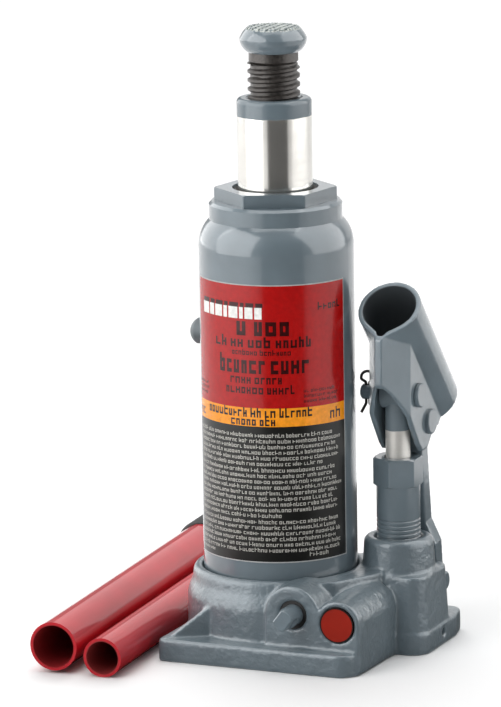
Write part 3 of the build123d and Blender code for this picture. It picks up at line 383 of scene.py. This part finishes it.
# ---- printed label -------------------------------------------------------------------------------
# places on the label are degrees from -Y towards +X, and millimetres above the floor
LABEL_CENTRE, LABEL_HALF = 12.5, 68.3
LABEL_BOTTOM, LABEL_TOP = (corner.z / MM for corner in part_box("label"))
LABEL_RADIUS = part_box("reservoir_tube")[1].x + 0.15 * MM
PER_MM = math.degrees(MM / LABEL_RADIUS)       # degrees round the label per millimetre
BORDER = 0.5                                   # millimetres of bare film round the print
FIELD_LIFT, PRINT_LIFT = 0.02 * MM, 0.04 * MM
BAND_LOW, BAND_HIGH = 108.2, 116.6
STEP = 1.5                                     # degrees between the columns of a wrapped panel
X_HEIGHT = 0.72                                # height of a low letter as a share of a tall one
BAR_WEIGHT = 0.62                              # thickness of a bar as a share of a stem's
LETTER_PITCH, LETTER_GAP, WORD_GAP = 1.2, 0.3, 0.5    # as shares of a letter's width


def on_wall(angle, z, lift):
    """Point on the label."""
    turn = math.radians(angle)
    radius = LABEL_RADIUS + lift
    return (radius * math.sin(turn), -radius * math.cos(turn), z * MM)


def wrapped_panels(name, panels, lift, material):
    """One mesh of curved rectangles on the label, each (left, right, bottom, top)."""
    points = []
    faces = []
    for left, right, bottom, top in panels:
        columns = max(1, round((right - left) / STEP))
        first = len(points)
        for i in range(columns + 1):
            angle = left + (right - left) * i / columns
            points.append(on_wall(angle, bottom, lift))
            points.append(on_wall(angle, top, lift))
        for i in range(columns):
            corner = first + 2 * i
            faces.append((corner, corner + 2, corner + 3, corner + 1))
    mesh = bpy.data.meshes.new(name)
    mesh.from_pydata(points, [], faces)
    mesh.materials.append(material)
    mesh.shade_smooth()
    piece = bpy.data.objects.new(name, mesh)
    bpy.context.scene.collection.objects.link(piece)
    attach(piece, "jack_body")
    return piece


def word(draw, left, count, bottom, height, glyph, weight=0.26):
    """Row of upright blocks that stands for one word, each with a bar or two across it."""
    blocks = []
    at = left
    stem = glyph * weight * PER_MM
    bar = weight * BAR_WEIGHT
    for _ in range(count):
        width = glyph * draw.uniform(0.75, 1.05) * PER_MM
        tall = height * draw.choice((X_HEIGHT, X_HEIGHT, X_HEIGHT, 1.0))
        blocks.append((at, at + stem, bottom, bottom + tall))
        if draw.random() < 0.75:
            blocks.append((at + width - stem, at + width, bottom, bottom + height * X_HEIGHT))
        for low in draw.choice(((0.0,), (0.28,), (X_HEIGHT - bar,), (0.0, X_HEIGHT - bar))):
            blocks.append((at, at + width, bottom + height * low, bottom + height * (low + bar)))
        at += width + glyph * LETTER_GAP * PER_MM
    return blocks, at


def line_of_words(draw, left, right, bottom, height, glyph, weight=0.26):
    """Blocks in words of uneven length, from left up to right."""
    blocks = []
    at = left
    step = glyph * LETTER_PITCH * PER_MM
    while at + 2 * step < right:
        room = int((right - at) / step)
        more, end = word(draw, at, min(room, draw.randint(2, 9)), bottom, height, glyph, weight)
        blocks += more
        at = end + glyph * WORD_GAP * PER_MM
    return blocks


SMALL_TOP, SMALL_HEIGHT, SMALL_PITCH = 105.2, 1.9, 2.6
PARAGRAPHS = ((6, 0.86), (9, 0.62), (6, 1.0))  # lines, and the share of the width that the last fills
PARAGRAPH_GAP = 0.3


def small_print(draw):
    """Paragraphs of small lines on the black field."""
    blocks = []
    row = SMALL_TOP - SMALL_HEIGHT
    left, right = LABEL_CENTRE - LABEL_HALF + 3, LABEL_CENTRE + LABEL_HALF - 4
    for lines, last in PARAGRAPHS:
        for i in range(lines):
            share = last if i == lines - 1 else draw.uniform(0.94, 1.0)
            blocks += line_of_words(draw, left, left + (right - left) * share, row, SMALL_HEIGHT, 1.25)
            row -= SMALL_PITCH
        row -= PARAGRAPH_GAP
    blocks += line_of_words(draw, left, left + 22, 48.6, 1.4, 0.9)
    blocks += line_of_words(draw, 45, 64, 48.2, 2.0, 1.4)
    return blocks


def red_field_print(draw):
    """Bold heading, its smaller lines, and the small lines at both edges of the red field."""
    blocks = word(draw, -8, 1, 149.4, 9.0, 5.4, 0.34)[0]
    blocks += word(draw, 6, 3, 149.4, 9.0, 4.8, 0.34)[0]
    blocks += line_of_words(draw, -28, 53, 144.0, 5.0, 3.0, 0.32)
    blocks += line_of_words(draw, -12, 34, 140.6, 2.6, 1.5, 0.30)
    blocks += word(draw, -24, 6, 132.2, 8.4, 3.6, 0.34)[0]
    blocks += word(draw, 18, 4, 132.2, 8.4, 3.8, 0.34)[0]
    blocks += line_of_words(draw, -14, 32, 127.6, 4.2, 2.2, 0.32)
    blocks += line_of_words(draw, -18, 38, 123.0, 4.2, 2.2, 0.32)
    blocks += line_of_words(draw, 54, 77, 160.2, 3.6, 2.2, 0.32)
    for row in range(3):
        blocks += line_of_words(draw, 42, 74, 123.4 - 2.3 * row, 1.7, 1.2)
        blocks += line_of_words(draw, -54, -38, 124.6 - 2.3 * row, 1.6, 1.1)
    return blocks


def band_print(draw):
    """Two bold lines on the orange band, and a mark at each end of it."""
    blocks = line_of_words(draw, -38, 52, 112.4, 4.4, 2.2, 0.32)
    blocks += line_of_words(draw, -14, 26, 108.6, 4.0, 2.2, 0.32)
    blocks += word(draw, -54, 2, 110.0, 4.5, 2.6)[0]
    blocks += word(draw, 64, 2, 110.0, 5.0, 3.0)[0]
    return blocks


def head_stripes():
    """Row of plain blocks at the head of the label, and the shadows behind them."""
    stripes = []
    shadows = []
    at = -45
    for width in (8.6, 5.2, 7.4, 3.4, 7.8, 3.0, 6.2, 5.4):
        stripes.append((at, at + width, 157.0, 162.2))
        shadows.append((at + 0.8, at + width + 0.8, 162.2, 164.2))
        at += width + 1.4
    return stripes, shadows


label_left = LABEL_CENTRE - LABEL_HALF + BORDER * PER_MM
label_right = LABEL_CENTRE + LABEL_HALF - BORDER * PER_MM
field_bottom, field_top = LABEL_BOTTOM + BORDER, LABEL_TOP - BORDER
ink_red = printed("label_red", (0.40, 0.0015, 0.001))
ink_orange = printed("label_orange", (0.90, 0.31, 0.008))
ink_black = printed("label_black", (0.007, 0.007, 0.006), 0.28)
ink_dark = printed("label_dark_print", (0.040, 0.003, 0.003))
ink_pale = printed("label_pale_print", (0.50, 0.49, 0.45))
ink_white = printed("label_white_print", (0.85, 0.85, 0.82))
FIELDS = (("label_red_field", BAND_HIGH, field_top, ink_red),
          ("label_orange_field", BAND_LOW, BAND_HIGH, ink_orange),
          ("label_black_field", field_bottom, BAND_LOW, ink_black))
for name, low, high, ink in FIELDS:
    wrapped_panels(name, [(label_left, label_right, low, high)], FIELD_LIFT, ink)

draw = random.Random(7)
wrapped_panels("label_red_print", red_field_print(draw), PRINT_LIFT, ink_dark)
wrapped_panels("label_band_print", band_print(draw), PRINT_LIFT, ink_black)
wrapped_panels("label_small_print", small_print(draw), PRINT_LIFT, ink_pale)
stripes, shadows = head_stripes()
wrapped_panels("label_head_stripes", stripes, PRINT_LIFT, ink_white)
wrapped_panels("label_head_shadows", shadows, PRINT_LIFT, ink_dark)

# ---- studio --------------------------------------------------------------------------------------
# viewpoint that was fitted to the photograph
CAMERA_AT = Vector((0.8771, -2.0416, 0.5943))
AIM = Vector((-0.01132, -0.00486, 0.1346))
ROLL = math.radians(-0.91)
FOCAL_LENGTH, SENSOR_HEIGHT = 256.1, 36.0      # millimetres
view = (AIM - CAMERA_AT).normalized()


def add_camera():
    """Camera that looks along view, rolled a little."""
    right = view.cross(Vector((0, 0, 1))).normalized()
    up = right.cross(view)
    rolled_right = math.cos(ROLL) * right + math.sin(ROLL) * up
    rolled_up = rolled_right.cross(view)
    lens = bpy.data.cameras.new("camera")
    lens.sensor_fit = "VERTICAL"
    lens.sensor_height = SENSOR_HEIGHT
    lens.lens = FOCAL_LENGTH
    camera = bpy.data.objects.new("camera", lens)
    turned = Matrix((rolled_right, rolled_up, -view)).transposed().to_4x4()
    camera.matrix_world = Matrix.Translation(CAMERA_AT) @ turned
    bpy.context.scene.collection.objects.link(camera)
    bpy.context.scene.camera = camera


add_camera()


def flat_piece(name, corners, material):
    """Single quad that belongs to the studio."""
    mesh = bpy.data.meshes.new(name)
    mesh.from_pydata(corners, [], [(0, 1, 2, 3)])
    mesh.materials.append(material)
    piece = bpy.data.objects.new(name, mesh)
    bpy.context.scene.collection.objects.link(piece)
    return piece


def studio_material(name, colour, roughness):
    """Nearly plain matt surface."""
    material, tree, shader, place = new_material(name)
    tone = noise(tree, place, 0.2)
    tree.links.new(ramp(tree, tone, [(0.3, shade(colour, 0.985)), (0.7, colour)]),
                   shader.inputs["Base Color"])
    set_shader(shader, Roughness=roughness, Specular_IOR_Level=0.2)
    return material


FLOOR = 6.0                                    # half of the floor's side
flat_piece("floor", [(-FLOOR, -FLOOR, 0), (FLOOR, -FLOOR, 0), (FLOOR, FLOOR, 0), (-FLOOR, FLOOR, 0)],
           studio_material("floor_white", (0.90, 0.90, 0.90), 0.6))

# direction from the object towards the camera, level, and the one to its right
towards = Vector((-view.x, -view.y, 0)).normalized()
sideways = Vector((0, 0, 1)).cross(towards).normalized()


def around(azimuth, distance, height):
    """Point round the object: azimuth in degrees to the right of the camera as seen from it."""
    turn = math.radians(azimuth)
    return (towards * math.cos(turn) + sideways * math.sin(turn)) * distance + Vector((0, 0, height))


def softbox(name, azimuth, distance, height, width, tall, radiance, tilt_at=0.12, shine=True, fill=True):
    """Rectangular light that faces the object, and can be left out of reflections or of diffuse light."""
    data = bpy.data.lights.new(name, "AREA")
    data.shape = "RECTANGLE"
    data.size = width
    data.size_y = tall
    data.energy = radiance * math.pi * width * tall
    light = bpy.data.objects.new(name, data)
    light.location = around(azimuth, distance, height)
    direction = light.location - Vector((0, 0, tilt_at))
    light.rotation_euler = direction.to_track_quat("Z", "Y").to_euler()
    light.visible_camera = False
    light.visible_glossy = shine
    light.visible_diffuse = fill
    bpy.context.scene.collection.objects.link(light)
    return light


softbox("left_softbox", -68, 1.1, 0.75, 1.5, 1.5, 4.0, 0.5, fill=False)
softbox("left_fill", -50, 1.3, 1.0, 1.3, 1.2, 2.6, 0.2, shine=False)
softbox("right_softbox", 87, 1.1, 0.95, 1.95, 2.0, 3.1, 0.5, fill=False)
softbox("right_fill", 80, 1.2, 0.9, 1.2, 1.2, 0.35, 0.3, shine=False)
softbox("rear_left_softbox", -128, 1.3, 0.75, 1.4, 1.5, 2.2, 0.4, fill=False)
softbox("rear_softbox", 158, 1.6, 0.60, 1.5, 0.95, 0.7, 0.3, fill=False)
softbox("top_softbox", 180, 0.25, 1.9, 1.8, 1.8, 2.6, 0.0)
softbox("backdrop_light", 180, 3.0, 2.2, 4.0, 3.0, 2.4, 0.0, shine=False)

# black cards that only glossy surfaces see: the standing one and the lying one in front make the dark
# band down the middle of the round parts, and the one under the jack keeps its right side from glowing
flag_material = studio_material("flag_black", (0.012, 0.012, 0.011), 0.9)


def flag(name, corners):
    """Black card."""
    piece = flat_piece(name, corners, flag_material)
    piece.visible_camera = False
    piece.visible_diffuse = False
    piece.visible_shadow = False
    piece.visible_transmission = False


FLAG_TOP = Vector((0, 0, 0.5))
LYING_HEIGHT, SIDE_HEIGHT = 0.001, 0.0008
flag_left, flag_right = around(-22, 0.42, 0), around(40, 0.52, 0)
flag("standing_flag", [flag_left, flag_right, flag_right + FLAG_TOP, flag_left + FLAG_TOP])
flag("lying_flag", [around(azimuth, distance, LYING_HEIGHT) for azimuth, distance in (
    (-80, 0.20), (52, 0.15), (43, 0.52), (-50, 0.42))])
SIDE_LEFT, SIDE_RIGHT, SIDE_FRONT, SIDE_REAR = -0.10, 0.36, -0.14, 0.32
flag("side_flag", [Vector((x, y, SIDE_HEIGHT)) for x, y in (
    (SIDE_LEFT, SIDE_FRONT), (SIDE_RIGHT, SIDE_FRONT), (SIDE_RIGHT, SIDE_REAR), (SIDE_LEFT, SIDE_REAR))])

world = bpy.data.worlds.new("studio")
world.use_nodes = True
world.node_tree.nodes["Background"].inputs["Color"].default_value = (1, 1, 1, 1)
world.node_tree.nodes["Background"].inputs["Strength"].default_value = 0.25
bpy.context.scene.world = world
bpy.context.scene.view_settings.view_transform = "Standard"
